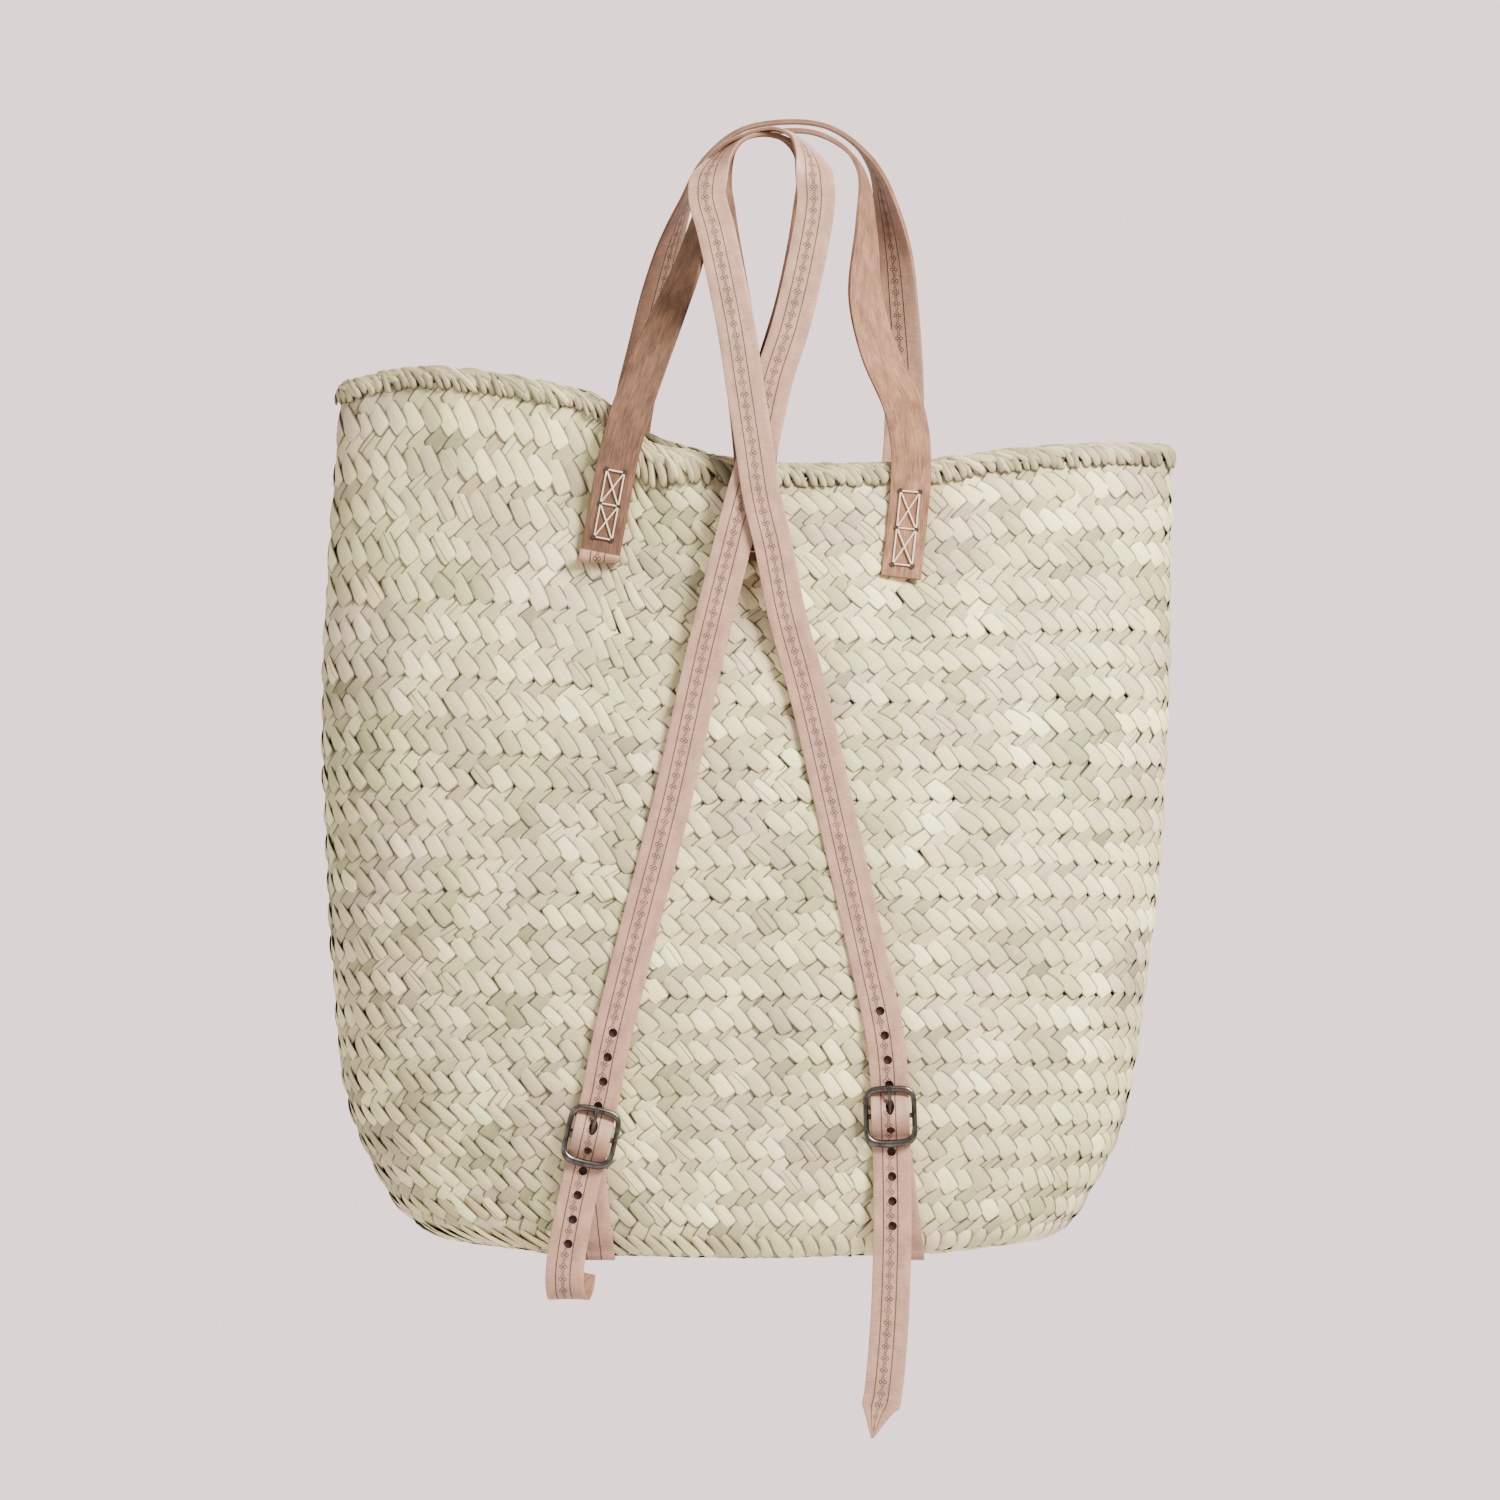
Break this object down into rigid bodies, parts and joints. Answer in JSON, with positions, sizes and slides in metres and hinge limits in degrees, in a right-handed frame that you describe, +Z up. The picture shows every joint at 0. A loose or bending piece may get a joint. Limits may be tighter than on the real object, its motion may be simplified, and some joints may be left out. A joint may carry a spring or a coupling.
{
  "type": "woven straw backpack",
  "caption": "Tall soft basket of braided palm leaf with two leather hand straps and two buckled leather shoulder straps, hanging from a peg.",
  "frame": {"origin": "top of the peg that the bag hangs on, under the bends of the hand straps and shoulder straps", "axes": "+Z up, +X to the right of the strap side, -Y out of the strap side"},
  "size_m": [0.4247, 0.1541, 0.6566],
  "materials": {
    "straw": "dry braided palm leaf, pale cream with green and beige leaves",
    "rim_straw": "twisted palm leaf, yellower than the wall",
    "leather": "undyed vegetable leather, pinkish beige grain with pressed lines and a rosette chain, brown suede back",
    "buckle_metal": "dark antique pewter, worn bright on the edges"
  },
  "bodies": {
    "root": {"basket_shell": "straw", "rim_braid": "rim_straw", "handle_near": "leather", "handle_far": "leather", "shoulder_strap_left": "leather", "shoulder_strap_right": "leather", "tab_left": "leather", "tab_right": "leather", "buckle_frame_left": "buckle_metal", "buckle_frame_right": "buckle_metal", "buckle_prong_left": "buckle_metal", "buckle_prong_right": "buckle_metal"}
  },
  "joints": []
}
